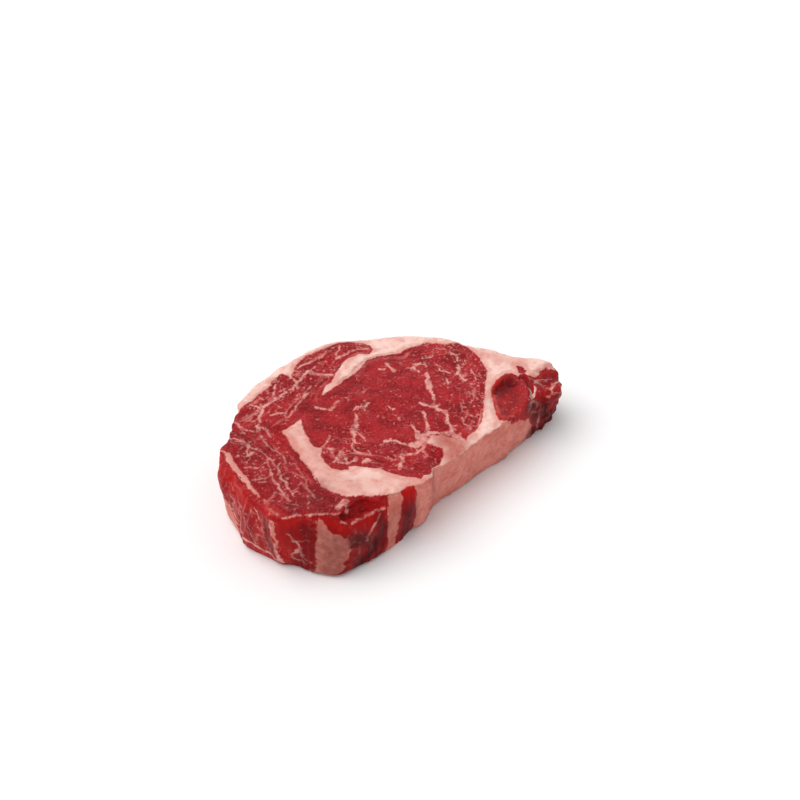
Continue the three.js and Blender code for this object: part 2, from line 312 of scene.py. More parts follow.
# Lean on the front side, as closed outlines: a place along X and a height for each corner.
FRONT_LEAN: list[Points] = [
    [
        (-81.5, -5), (-70.4, -5), (-70.1, 7.4), (-69.3, 20), (-67.6, 32), (-65.6, 34.5),
        (-64.8, 33), (-64.1, 29.6), (-62.5, 27.4), (-60.9, 27.2), (-59.3, 24.4), (-57.4, 24.6),
        (-56.2, 21.6), (-57.2, 19), (-55.6, 16.6), (-58, 14.6), (-57.6, 11.8), (-60, 9.6),
        (-59.4, 6.6), (-61.4, 4.4), (-60.9, -5), (-35.2, -5), (-35, 1), (-34.8, 16), (-35, 27),
        (-32.7, 33.6), (-31, 42), (-88, 42), (-84, 30), (-81.6, 15),
    ],
    [
        (-29.3, -5), (-16.8, -5), (-16.8, 5.3), (-18, 15), (-18.7, 22.5), (-19.3, 33),
        (-19.6, 42), (-27, 42), (-27.6, 18.3), (-29, 5),
    ],
    [
        (72.5, -5), (70.8, 5), (69.6, 10), (66, 19), (60.5, 22.6), (56, 25), (50, 27.5), (45, 42),
        (104, 42), (104, -5),
    ],
]
FRONT_VEINS: list[Vein] = [
    Vein(0.35, [(-77.9, 25.8), (-76.4, 21), (-74.6, 16.2), (-73.3, 11.9)]),
    Vein(0.2, [(-76.2, 21.4), (-74, 20.4), (-72, 22)]),
    Vein(0.3, [(-74.6, 16.2), (-76, 12), (-75.8, 8), (-73, 6.6)]),
    Vein(0.2, [(-73.3, 12), (-71.6, 9)]),
    Vein(0.4, [(-47, 20), (-43, 24), (-38.6, 28.2)]),
    Vein(0.4, [(78, 27), (82, 28.4), (88, 28.6)]),
    Vein(0.4, [(66.5, 26.8), (70, 26.6), (72.4, 24)]),
    Vein(0.5, [(72.6, 19), (74, 12), (75, 5)]),
]
# Tints of the front side. Its dark stains are mostly painted shade, in the tear's pocket, on the
# shaded walls and under the tail's overhang.
FRONT_STAINS: list[Stain] = [
    Stain(DARK, 0.5, 1.6, [(-52, 34), (-47, 33.6), (-44, 34)]),
    Stain(WARM, 1.0, 2.9, [(-63.6, 31.6), (-60, 29), (-56, 27), (-52.6, 26.6)]),
    Stain(WARM, 0.8, 1.8, [(-44, 26.8), (-39.5, 28.6), (-35, 31.2)]),
    Stain(WARM, 1.0, 2.4, [(-25, 33.6), (-21, 33.4), (-20, 30)]),
    Stain(WARM, 0.9, 3.0, [(-80, 33), (-77, 32), (-72, 33.6)]),
    Stain(WARM, 0.45, 4.0, [(-79, 28), (-77.6, 15), (-76, 3)]),
    Stain(DARK, 0.6, 4.0, [(-71, 29), (-71.6, 14), (-72.4, 2)]),
    Stain(DARK, 0.35, 3.0, [(-76.6, 28), (-76, 20)]),
    Stain(MEMBRANE, 0.95, 4.6, [(-54, 22.5), (-50, 20), (-46, 15)]),
    Stain(MEMBRANE, 0.6, 3.0, [(-52, 12), (-54, 4)]),
    Stain(DARK, 0.9, 4.8, [(-50, 3), (-44, 8), (-38, 18)]),
    Stain(DARK, 0.65, 3.4, [(-39, 26), (-37.6, 12), (-40, 2)]),
    Stain(DARK, 0.75, 5.4, [(-23, 22), (-22, 3)]),
    Stain(DARK, 0.55, 7.5, [(-63, 24), (-64, 4)]),
    Stain(DARK, 0.95, 4.2, [(77.6, 20), (79, 12), (86, 8)]),
    Stain(DARK, 0.85, 7.0, [(74, 4), (86, 6), (94, 12)]),
    Stain(MEMBRANE, 1.0, 3.8, [(66, 26), (71, 23.6), (71.4, 17)]),
    Stain(MEMBRANE, 0.6, 2.2, [(83, 27), (86, 22)]),
    Stain(DARK, 0.35, 2.2, [(-7, 34), (-6.5, 18), (-5.5, 3)]),
    Stain(DARK, 0.2, 3.4, [(-31, 26), (-32, 6)]),
    Stain(DARK, 0.6, 3.6, [(-56, 20), (-52, 18)]),
]

# Lean on the head end: a place along Y and a height for each corner.
HEAD_LEAN: list[Points] = [
    [
        (-34, -5), (-8, -5), (-2, 3), (4, 8), (10, 13), (18, 15), (24, 12), (30, 15), (36, 22),
        (42, 20), (50, 27), (74, 30), (74, 45), (-34, 45),
    ],
]
HEAD_VEINS: list[Vein] = [
    Vein(0.8, [(12, 15.5), (4, 11), (-6, 8.4), (-16, 7), (-26, 5)]),
    Vein(0.1, [(-22, 33), (-20, 22), (-22, 8)]),
    Vein(0.1, [(-14, 31), (-12, 20), (-15, 9)]),
    Vein(0.15, [(-9, 30), (-8, 27), (-10, 18)]),
    Vein(0.15, [(-3, 26), (-5, 20), (-3, 12)]),
    Vein(0.1, [(6, 26), (3, 22), (7, 15)]),
    Vein(0.15, [(-17, 35), (-18.5, 28), (-17, 22)]),
]
# Tints of the head end. Its dark stains are partly painted shade, partly darker tissue.
HEAD_STAINS: list[Stain] = [
    Stain(WARM, 0.95, 5.0, [(16, 32), (2, 33), (-10, 33)]),
    Stain(WARM, 0.7, 2.6, [(-4, 3), (-16, 2.5), (-25, 2)]),
    Stain(MARBLE, 0.9, 10, [(8, 24), (-20, 22)]),
    Stain(DARK, 0.6, 2.4, [(-24, 31), (-24, 10)]),
    Stain(DARK, 0.3, 3.0, [(-12, 26), (-13, 12)]),
]

# Pale edges that stand out of the skin: the cap muscle's lip, the corner ridge and the torn flap,
# partly pale tissue and partly a painted highlight along their crests.
EDGES: list[Vein] = [
    Vein(0.5, [(-80.6, -16, 37), (-81.8, -22, 37.2), (-82.4, -27.6, 37), (-79, -31.6, 36.4),
        (-75.4, -33.6, 36), (-70.3, -36.5, 36.2), (-65.2, -39.6, 36.2), (-59.6, -43.6, 36.2),
        (-57.3, -44.4, 36)]),
    Vein(1.05, [(-83.4, -26.6, 36), (-84, -27.9, 33), (-83.6, -27.9, 25)]),
    Vein(1.1, [(-82.8, -27.4, 18), (-82, -26.9, 13), (-80.6, -26.8, 8), (-79.4, -26.9, 3)]),
    Vein(0.5, [(-58.3, -45.3, 31.6), (-53.8, -46.8, 29.6), (-48.9, -46.8, 29.4),
        (-43.1, -46.9, 29.6), (-36.2, -48, 30)]),
    Vein(1.3, [(-53, -41.6, 35), (-52.4, -42, 32.6)]),
]
TEAR_HALF_WIDTH = 1.5  # of the tear's slot, mm
TEAR_LINE: Points = [(-56.4, -43.4, 32.6), (-52.1, -43.8, 31.2), (-48.6, -44.3, 30.9),
    (-45.4, -44, 31)]
SWELL_LINE: Points = [(-82, 18, 28), (-83, 2, 28)]  # the middle of the head end's swell
EDGE_STAINS: list[Stain] = [
    # Painted shade inside the tear's slot.
    Stain(DARK, 0.95, TEAR_HALF_WIDTH, TEAR_LINE),
    Stain(WARM, 0.7, 2.2, [(-43.6, -43.6, 33.4), (-40.6, -44, 33), (-37.4, -45.6, 32.6)]),
    Stain(WARM, 0.95, 1.8, [(-83, -26, 36.5), (-84, -27.6, 33), (-83.4, -27.6, 22),
        (-82, -26.6, 12)]),
    Stain(WARM, 0.8, 1.5, [(-79, -31.6, 35.4), (-75.4, -33.6, 34.6), (-70.3, -36.5, 35)]),
]


@dataclass(frozen=True)
class Bumps:
    """A layer of smooth noise that is the same on every run.

    Attributes:
        seed: Which noise.
        height: How far it goes to both sides of zero.
        size: Size of a lump in mm, one number or one for each axis.
        shift: How far the noise is shifted, mm.
    """

    seed: int
    height: float
    size: float | tuple[float, float, float]
    shift: float = 0.0

    def at(self, places: np.ndarray) -> np.ndarray:
        """Returns the layer's height at places."""
        lattice = np.random.default_rng(self.seed).uniform(-1, 1, (NOISE_CELLS,) * 3)
        scaled = (places + self.shift) / np.asarray(self.size, float)
        cell = np.floor(scaled).astype(int)
        part = scaled - cell
        part = part * part * (3 - 2 * part)
        total = np.zeros(len(places))
        for corner in np.ndindex(2, 2, 2):
            index = (cell + corner) % NOISE_CELLS
            weight = np.prod(np.where(corner, part, 1 - part), axis=1)
            total += weight * lattice[index[:, 0], index[:, 1], index[:, 2]]
        return self.height * total


Layers = tuple[Bumps, ...]


def rough(places: np.ndarray, layers: Layers) -> np.ndarray:
    """Returns the sum of layers of noise at places."""
    return np.sum([layer.at(places) for layer in layers], axis=0)


def ramp(values: np.ndarray, low: float, high: float) -> np.ndarray:
    """Returns 0 at low and before it, 1 at high and beyond it, and a smooth step between."""
    share = np.clip((values - low) / (high - low), 0, 1)
    return share * share * (3 - 2 * share)


def bell(values: np.ndarray, width: float, middle: float = 0.0) -> np.ndarray:
    """Returns a bell curve that is 1 at its middle."""
    return np.exp(-(((values - middle) / width) ** 2))


def line_distance(places: np.ndarray, points: Points, closed: bool = False) -> np.ndarray:
    """Returns each place's distance from a line through points.

    Args:
        places: N places, of as many numbers as a point has.
        points: The line's points.
        closed: Whether the line returns to its first point.

    Returns:
        One distance for each place.
    """
    corners = np.asarray(points, float)
    ends = np.roll(corners, -1, axis=0)
    pairs = list(zip(corners, ends))
    if not closed:
        pairs = pairs[:-1]
    nearest = np.full(len(places), np.inf)
    for start, end in pairs:
        along = end - start
        share = np.clip(((places - start) @ along) / (along @ along), 0, 1)
        gap = places - start - share[:, None] * along
        nearest = np.minimum(nearest, np.linalg.norm(gap, axis=1))
    return nearest


def inside_depth(places: np.ndarray, outline: Points) -> np.ndarray:
    """Returns how deep each place lies inside a closed outline, below 0 outside."""
    corners = np.asarray(outline, float)
    inside = np.zeros(len(places), bool)
    for start, end in zip(corners, np.roll(corners, -1, axis=0)):
        rise = end[1] - start[1]
        if rise == 0:
            continue
        crosses = (start[1] > places[:, 1]) != (end[1] > places[:, 1])
        where = start[0] + (places[:, 1] - start[1]) * (end[0] - start[0]) / rise
        inside ^= crosses & (places[:, 0] < where)
    distance = line_distance(places, outline, closed=True)
    return np.where(inside, distance, -distance)


def lean_depth(places: np.ndarray, outlines: list[Points]) -> np.ndarray:
    """Returns how deep each place lies inside the nearest outline, below 0 outside."""
    depth = np.full(len(places), NO_LEAN)
    for outline in outlines:
        depth = np.maximum(depth, inside_depth(places, outline))
    return depth


def branched(veins: list[Vein]) -> list[Vein]:
    """Returns veins together with short twigs that leave them at an angle."""
    source = np.random.default_rng(TWIG_SEED)
    grown = list(veins)
    for vein in veins:
        corners = np.asarray(vein.points, float)
        for start, end in zip(corners, corners[1:]):
            length = float(np.linalg.norm(end - start))
            ahead = (end - start) / length
            aside = np.array([-ahead[1], ahead[0]])
            for _ in range(source.poisson(length / TWIG_SPACING)):
                root = start + source.uniform(*TWIG_ROOT) * (end - start)
                turn = source.choice((-1, 1)) * source.uniform(*TWIG_TURN)
                heading = math.cos(turn) * ahead + math.sin(turn) * aside
                reach = source.uniform(*TWIG_REACH)
                bend = root + 0.5 * reach * heading + source.uniform(*TWIG_BEND) * ahead
                tip = root + reach * heading
                width = min(TWIG_SHARE * vein.half_width, TWIG_WIDEST)
                grown.append(Vein(width, [tuple(root), tuple(bend), tuple(tip)]))
    return grown


def vein_depth(places: np.ndarray, veins: list[Vein]) -> np.ndarray:
    """Returns how deep each place lies inside the nearest vein, below 0 outside."""
    depth = np.full(len(places), NO_VEIN)
    for vein in veins:
        depth = np.maximum(depth, vein.half_width - line_distance(places, vein.points))
    return depth


def stained(places: np.ndarray, stains: list[Stain], tint: Tint) -> np.ndarray:
    """Returns how strongly one tint lies at each place, from 0 to 1."""
    strength = np.zeros(len(places))
    for stain in stains:
        if stain.tint is tint:
            near = bell(line_distance(places, stain.points), stain.half_width)
            strength = np.maximum(strength, stain.strength * near)
    return strength


@dataclass
class SkinMap:
    """What each point of the skin is, worked out from its place and the way it faces.

    Attributes:
        places: N by 3 places in mm, measured from the mark.
        facing: N by 3 outward directions.
        wander: How far tissue borders stray from their drawn lines, mm.
        winding: How many times further veins and the side's borders stray.
        face_edge: What makes the border of the cut faces ragged.
        head_edge: What makes the border of the head end ragged, mm.
        vein_edge: How a vein's half width varies, mm.
        layering: The streaks along the muscles' borders.
        layer_slope: How far the streaks drift across for each mm up.
    """

    places: np.ndarray
    facing: np.ndarray
    wander: float = 0.55
    winding: float = 1.7
    face_edge: Layers = (Bumps(63, 0.16, 3.2),)
    head_edge: Layers = (Bumps(61, 7, 9), Bumps(62, 2, 3))
    vein_edge: Layers = (Bumps(81, 0.3, 2.1),)
    layering: Layers = (Bumps(51, 1, (9, 9, 1.5)), Bumps(52, 0.6, (5, 5, 0.9)))
    layer_slope: float = 0.2
    strayed: np.ndarray = field(init=False, repr=False)
    wound: np.ndarray = field(init=False, repr=False)

    def __post_init__(self) -> None:
        """Works out the places that the drawn lines are measured from."""
        shift = [
            rough(self.places, (Bumps(seed, 1, 3.4), Bumps(seed + 1, 0.55, 1.3)))
            for seed in (21, 31, 41)
        ]
        self.strayed = self.places + self.wander * np.stack(shift, axis=1)
        self.wound = self.places + self.winding * (self.strayed - self.places)

    def sunk(self) -> np.ndarray:
        """Returns how far each place lies below the plane of the upper face, in mm."""
        x, y, z = self.places.T
        return TOP_HEIGHT - TOP_FALL[0] * x - TOP_FALL[1] * y - z

    def tear(self) -> np.ndarray:
        """Returns 1 inside the tear below the fat kernel's edge."""
        x, y, _ = self.places.T
        span = ramp(x, *TEAR_LEFT) * ramp(x, *TEAR_RIGHT) * ramp(y, *TEAR_ACROSS)
        return span * ramp(self.sunk(), *TEAR_SUNK)

    def tail(self) -> np.ndarray:
        """Returns 1 on the torn tail."""
        x, y, _ = self.places.T
        return ramp(x, *TAIL_ALONG) * ramp(y, *TAIL_ACROSS)

    def flat(self) -> np.ndarray:
        """Returns 1 on the two cut faces and 0 on the side."""
        upright = np.abs(self.facing[:, 2]) + rough(self.places, self.face_edge)
        return ramp(upright, *FLAT_FACING) * (1 - self.tear())

    def front(self) -> np.ndarray:
        """Returns 1 before the corner ridge and along the whole straight side, 0 behind."""
        x, y, _ = self.places.T
        border = FRONT_BORDER + FRONT_WIDENING * ramp(x, *RIDGE_ALONG)
        return ramp(border - y, -FRONT_BLUR, FRONT_BLUR)

    def head(self) -> np.ndarray:
        """Returns 1 on the head end, behind its corner ridge."""
        along = self.places[:, 0] - rough(self.places, self.head_edge)
        return ramp(along, *HEAD_ALONG) * (1 - self.front())

    def joined(
        self, face: np.ndarray, front: np.ndarray, head: np.ndarray, rear: float
    ) -> np.ndarray:
        """Returns one value over the skin out of its values on the cut faces and each side."""
        side = rear + self.head() * (head - rear)
        side = side + self.front() * (front - side)
        return side + self.flat() * (face - side)

    def lean(self) -> np.ndarray:
        """Returns the depth in lean over the whole skin, below 0 in fat."""
        face = lean_depth(self.strayed[:, :2], list(MUSCLES.values()))
        front = lean_depth(self.wound[:, [0, 2]], FRONT_LEAN)
        head = lean_depth(self.wound[:, [1, 2]], HEAD_LEAN)
        return self.joined(face, front, head, REAR_LEAN)

    def vein(self) -> np.ndarray:
        """Returns the depth in a vein over the whole skin, below 0 outside."""
        face = vein_depth(self.wound[:, :2], CAP_VEINS + branched(EYE_VEINS))
        front = vein_depth(self.wound[:, [0, 2]], FRONT_VEINS)
        head = vein_depth(self.wound[:, [1, 2]], HEAD_VEINS)
        depth = self.joined(face, front, head, NO_VEIN)
        # The pale edges, partly painted highlight, join the veins.
        depth = np.maximum(depth, vein_depth(self.strayed, EDGES))
        return depth + rough(self.places, self.vein_edge)

    def hollow(self) -> tuple[np.ndarray, np.ndarray]:
        """Returns how deep the seams of the upper face lie, in mm, and how much painted shade they
        get.
        """
        top = ramp(self.facing[:, 2], *TOP_FACING)
        depth = np.zeros(len(self.places))
        shade = np.zeros(len(self.places))
        for hollow in HOLLOWS:
            near = bell(line_distance(self.strayed[:, :2], hollow.points), hollow.half_width)
            depth = np.maximum(depth, hollow.depth * near)
            shade = np.maximum(shade, hollow.shade * near)
        return depth * top, shade * top

    def tint(self, tint: Tint) -> np.ndarray:
        """Returns how strongly one tint lies over the whole skin, from 0 to 1."""
        face = stained(self.strayed[:, :2], FACE_STAINS, tint)
        front = stained(self.strayed[:, [0, 2]], FRONT_STAINS, tint)
        head = stained(self.strayed[:, [1, 2]], HEAD_STAINS, tint)
        skin = self.joined(face, front, head, 0)
        return np.maximum(skin, stained(self.strayed, EDGE_STAINS, tint))

    def streaks(self, lean: np.ndarray) -> np.ndarray:
        """Returns streaks that run along the muscles' borders, from -1 to 1."""
        x, y, z = self.places.T
        return rough(np.stack([x, y, lean + self.layer_slope * z], axis=1), self.layering)


@dataclass
class Relief:
    """The skin's fine relief. Its heights and depths are in mm.

    Attributes:
        skin: What each point of the skin is.
        lumps: Broad lumps of the cut faces.
        grain: Small bumps on lean.
        fat_grain: How much of them fat has.
        fat_step: How far fat stands above the lean it borders.
        fat_layer: Height of the layers in fat.
        vein_step: How far a vein stands above its lean.
        rim: Height of the round tail muscle's rim.
        rim_inset: How far inside the muscle's outline the rim lies.
        dish: Depth of the dish inside the rim.
        dish_floor: How far inside the outline its floor starts.
        swelling: Broad lumps of the side.
        fibres: Upright fibres of the front side's lean.
        head_fibres: Fibres of the head end's lean.
        slant: How far those lean over along Y for each mm up.
        dimples: Dimples in side fat.
        creases: Upright creases in the notch of the front side.
        beads: Small lumps high on the head end.
        swell: Height of the head end's swell.
        notches: Notches along the upper edge.
        lobes: Lobes of the torn tail.
        shreds: Shreds in the tear.
        slot: Depth of the tear's slot.
    """

    skin: SkinMap
    lumps: Layers = (Bumps(3, 0.3, 9), Bumps(7, 0.2, 4.5))
    grain: Layers = (Bumps(11, 0.2, 1.7), Bumps(11, 0.16, 3.1, 31))
    fat_grain: float = 0.7
    fat_step: float = 0.4
    fat_layer: float = 0.22
    vein_step: float = 0.12
    rim: float = 0.6
    rim_inset: float = 1.6
    dish: float = 1.0
    dish_floor: float = 7.0
    swelling: Layers = (Bumps(3, 0.5, 7),)
    fibres: Layers = (Bumps(7, 0.45, (1.7, 1.7, 16)), Bumps(11, 0.27, (1.1, 1.1, 9)))
    head_fibres: Layers = (Bumps(7, 0.585, (40, 1.7, 26)), Bumps(11, 0.4095, (40, 1.0, 12)))
    slant: float = 0.35
    dimples: Layers = (Bumps(7, 0.28, 3.2), Bumps(11, 0.168, 1.6))
    creases: Layers = (Bumps(7, 0.9, (2.6, 2.6, 30), 17),)
    beads: Layers = (Bumps(7, 0.5, 3.4),)
    swell: float = 1.7
    notches: Layers = (Bumps(7, 0.9, 3.6, 5),)
    lobes: Layers = (Bumps(7, 2.2, (4.2, 4.2, 9)), Bumps(11, 1.2, 2.6))
    shreds: Layers = (Bumps(7, 1.5, (3.6, 3, 2.6), 7), Bumps(11, 0.6, 1.8))
    slot: float = 1.52

    def cut(self, depth: np.ndarray, lean: np.ndarray) -> np.ndarray:
        """Returns the relief of the cut faces, out of the depth in lean and the share of lean."""
        places = self.skin.places
        grain = rough(places, self.grain)
        fat = self.fat_step + self.fat_grain * grain + self.fat_layer * self.skin.streaks(depth)
        vein = self.vein_step * lean * ramp(self.skin.vein(), *VEIN_BORDER)
        return rough(places, self.lumps) + lean * grain + (1 - lean) * fat + vein

    def bowl(self) -> np.ndarray:
        """Returns the rim and the dish of the round tail muscle."""
        places = self.skin.places
        depth = inside_depth(places[:, :2], MUSCLES["round tail muscle"])
        rim = self.rim * bell(depth, width=1.3, middle=self.rim_inset)
        dish = self.dish * ramp(depth, self.rim_inset, self.dish_floor)
        return (rim - dish) * ramp(places[:, 0], *DISH_ALONG)

    def side(self, lean: np.ndarray) -> np.ndarray:
        """Returns the relief of the side, out of the share of lean."""
        places = self.skin.places
        leaning = places.copy()
        leaning[:, 1] += self.slant * places[:, 2]
        on_head = self.skin.head() > 0.5
        fibres = np.where(on_head, rough(leaning, self.head_fibres), rough(places, self.fibres))
        notch = bell(places[:, 0], width=9, middle=-3) * self.skin.front()
        creases = notch * np.maximum(rough(places, self.creases), 0)
        tissue = lean * fibres + (1 - lean) * rough(places, self.dimples)
        return rough(places, self.swelling) + tissue - creases

    def upper_side(self) -> np.ndarray:
        """Returns the beads, the swell and the notches below the upper edge."""
        places = self.skin.places
        beads = bell(places[:, 2], width=5, middle=28) * rough(places, self.beads)
        swell = self.swell * bell(line_distance(places, SWELL_LINE), width=10)
        brink = bell(self.skin.sunk(), width=3, middle=1) * (1 - self.skin.tail())
        return self.skin.head() * beads + swell + brink * rough(places, self.notches)

    def tear(self) -> np.ndarray:
        """Returns the shreds and the slot of the tear."""
        gap = line_distance(self.skin.places, TEAR_LINE)
        shreds = bell(gap, width=5) * rough(self.skin.places, self.shreds)
        return shreds - self.slot * bell(gap, TEAR_HALF_WIDTH)

    def rise(self) -> np.ndarray:
        """Returns how far each point moves outward."""
        flat, depth = self.skin.flat(), self.skin.lean()
        lean = ramp(depth, *LEAN_BORDER)
        side = self.side(lean)
        rise = side + flat * (self.cut(depth, lean) + self.bowl() - side)
        rise += (1 - flat) * self.upper_side()
        rise += self.skin.tail() * rough(self.skin.places, self.lobes)
        rise += self.tear() - self.skin.hollow()[0]
        return rise * (1 - ramp(self.skin.facing[:, 2], *UNDER_FACING))


@dataclass
class RibeyeSteak:
    """The steak: its refined skin, its relief and its values of tissue.

    Attributes:
        voxel: Spacing of the refined skin, mm.
        smoothing: Rounds of smoothing that take the steps out of the refined skin.
        rear_paleness: How much of the side's rosy cast the rear loses.
    """

    voxel: float = 0.74
    smoothing: int = 4
    # rear_paleness: How much of the side's rosy cast, partly painted shade, the rear loses.
    rear_paleness: float = 0.62

    def refined_skin(self, solid: bpy.types.Object) -> bpy.types.Mesh:
        """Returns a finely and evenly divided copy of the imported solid.

        Args:
            solid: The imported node's object, which is left as it is.

        Returns:
            The new mesh, in metres.
        """
        mesh = solid.data.copy()
        merged = bmesh.new()
        merged.from_mesh(mesh)
        bmesh.ops.remove_doubles(merged, verts=merged.verts, dist=0.02 * MM)
        merged.to_mesh(mesh)
        merged.free()
        rough = bpy.data.objects.new("rough_skin", mesh)
        bpy.context.scene.collection.objects.link(rough)
        round_off = rough.modifiers.new("round", "SUBSURF")
        round_off.levels = 1
        round_off.render_levels = 1
        divide = rough.modifiers.new("divide", "REMESH")
        divide.mode = "VOXEL"
        divide.voxel_size = self.voxel * MM
        evaluated = rough.evaluated_get(bpy.context.evaluated_depsgraph_get())
        skin = bpy.data.meshes.new_from_object(evaluated)
        bpy.data.objects.remove(rough)
        return skin

    def smoothed(self, skin: bpy.types.Mesh) -> None:
        """Takes the small steps out of the skin, with its normals outward."""
        work = bmesh.new()
        work.from_mesh(skin)
        for _ in range(self.smoothing):
            bmesh.ops.smooth_vert(
                work, verts=work.verts, factor=0.5,
                use_axis_x=True, use_axis_y=True, use_axis_z=True,
            )
        bmesh.ops.recalc_face_normals(work, faces=work.faces)
        work.to_mesh(skin)
        work.free()

    def read(self, skin: bpy.types.Mesh) -> SkinMap:
        """Returns the skin's places and facings, measured from the mark."""
        count = len(skin.vertices)
        places = np.empty(count * 3)
        skin.vertices.foreach_get("co", places)
        places = places.reshape(-1, 3) / MM
        places[:, :2] -= MARK
        facing = np.empty(count * 3)
        skin.vertex_normals.foreach_get("vector", facing)
        return SkinMap(places, facing.reshape(-1, 3))

    def shaped(self, skin: bpy.types.Mesh) -> None:
        """Moves the skin's points out by their relief, but never below the resting face."""
        skin_map = self.read(skin)
        moved = skin_map.places + skin_map.facing * Relief(skin_map).rise()[:, None]
        moved[:, :2] += MARK
        moved[:, 2] = np.maximum(moved[:, 2], 0)
        skin.vertices.foreach_set("co", (moved * MM).ravel())
        skin.update()

    def told(self, skin: bpy.types.Mesh) -> None:
        """Writes the tissue values that the finish reads onto the skin."""
        skin_map = self.read(skin)
        values = {tint.value: skin_map.tint(tint) for tint in Tint}
        # The seams' painted shade joins the dark values, which are mostly painted shade too.
        values[DARK.value] = np.maximum(values[DARK.value], skin_map.hollow()[1])
        lean = skin_map.lean()
        values.update({"lean": lean, "vein": skin_map.vein(), "streaks": skin_map.streaks(lean)})
        # The side takes the rosy colours, partly painted shade of the side walls; the rear loses
        # part of them.
        rear = ramp(skin_map.places[:, 0], *REAR_ALONG) * (1 - skin_map.front())
        rosy = (1 - skin_map.flat()) * (1 - self.rear_paleness * rear)
        values[ROSY.value] = np.maximum(values[ROSY.value], rosy)
        for name, numbers in values.items():
            layer = skin.attributes.new(name, "FLOAT", "POINT")
            layer.data.foreach_set("value", numbers.astype(np.float32))

    def build(self, solid: bpy.types.Object, finish: bpy.types.Material) -> bpy.types.Object:
        """Returns the finished steak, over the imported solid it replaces.

        Args:
            solid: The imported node's object.
            finish: The meat's material.

        Returns:
            The new object, at the origin.
        """
        skin = self.refined_skin(solid)
        self.smoothed(skin)
        self.shaped(skin)
        self.told(skin)
        skin.name = "ribeye"
        skin.materials.clear()
        skin.materials.append(finish)
        skin.shade_smooth()
        steak = bpy.data.objects.new("ribeye", skin)
        bpy.context.scene.collection.objects.link(steak)
        return steak


def linear(red: int, green: int, blue: int) -> Colour:
    """Returns a screen colour, 0 to 255 each, as the renderer's linear colour."""
    parts = []
    for part in (red, green, blue):
        share = part / 255
        low = share / 12.92
        high = ((share + 0.055) / 1.055) ** 2.4
        parts.append(low if share <= 0.04045 else high)
    return (parts[0], parts[1], parts[2], 1.0)


class Sock:
    """A shader socket that can be used in sums."""

    def __init__(self, graph: "Graph", socket: bpy.types.NodeSocket) -> None:
        """Keeps the socket and the graph that it belongs to."""
        self.graph = graph
        self.socket = socket

    def _math(self, operation: str, first: "Sock | float", second: "Sock | float") -> "Sock":
        """Returns the result of one Math node."""
        return self.graph.node("ShaderNodeMath", {"operation": operation}, {0: first, 1: second})

    def __add__(self, other: "Sock | float") -> "Sock":
        """Adds."""
        return self._math("ADD", self, other)

    __radd__ = __add__

    def __sub__(self, other: "Sock | float") -> "Sock":
        """Subtracts."""
        return self._math("SUBTRACT", self, other)

    def __rsub__(self, other: "Sock | float") -> "Sock":
        """Subtracts from a number."""
        return self._math("SUBTRACT", other, self)

    def __mul__(self, other: "Sock | float") -> "Sock":
        """Multiplies."""
        return self._math("MULTIPLY", self, other)

    __rmul__ = __mul__


class Graph:
    """Builds one material's nodes."""

    def __init__(self, name: str) -> None:
        """Starts an empty material with an output."""
        self.material = bpy.data.materials.new(name)
        self.material.use_nodes = True
        self.tree = self.material.node_tree
        self.tree.nodes.clear()

    def node(self, kind: str, settings: dict | None = None, inputs: dict | None = None,
             output: int | str = 0) -> Sock:
        """Adds a node.

        Args:
            kind: The node's type.
            settings: Its own settings, set first.
            inputs: A value or a link for each named or numbered socket.
            output: The socket to return.

        Returns:
            That output.
        """
        made = self.tree.nodes.new(kind)
        for key, value in (settings or {}).items():
            setattr(made, key, value)
        for key, value in (inputs or {}).items():
            if isinstance(value, Sock):
                self.tree.links.new(value.socket, made.inputs[key])
            else:
                made.inputs[key].default_value = value
        return Sock(self, made.outputs[output])

    def value(self, name: str) -> Sock:
        """Returns one of the skin's own values."""
        return self.node("ShaderNodeAttribute", {"attribute_name": name}, output="Fac")

    def noise(self, where: Sock, size: float, detail: float = 2.0, rough: float = 0.5) -> Sock:
        """Returns noise from 0 to 1 with lumps of a size in mm."""
        inputs = {"Vector": where, "Scale": 1 / size, "Detail": detail, "Roughness": rough}
        return self.node("ShaderNodeTexNoise", None, inputs)

    def step(self, value: Sock, low: float, high: float) -> Sock:
        """Returns a smooth step from 0 at low to 1 at high."""
        inputs = {"Value": value, "From Min": low, "From Max": high}
        return self.node("ShaderNodeMapRange", {"interpolation_type": "SMOOTHSTEP"}, inputs)

    def thread(self, where: Sock, size: float, width: float) -> Sock:
        """Returns winding threads, size mm apart, as wide as a share of the noise."""
        gap = self.noise(where, size) - 0.5
        gap = self.node("ShaderNodeMath", {"operation": "ABSOLUTE"}, {0: gap})
        return 1 - self.step(gap, 0, width)

    def surface(self, shader: Sock) -> None:
        """Sends a shader to the material's output."""
        output = self.tree.nodes.new("ShaderNodeOutputMaterial")
        self.tree.links.new(shader.socket, output.inputs["Surface"])

    def mix(self, share: Sock | float, first: Sock | Colour, second: Sock | Colour) -> Sock:
        """Returns a colour between two."""
        inputs = {MIX_SHARE: share, MIX_FIRST: first, MIX_SECOND: second}
        return self.node("ShaderNodeMix", {"data_type": "RGBA"}, inputs, MIX_RESULT)


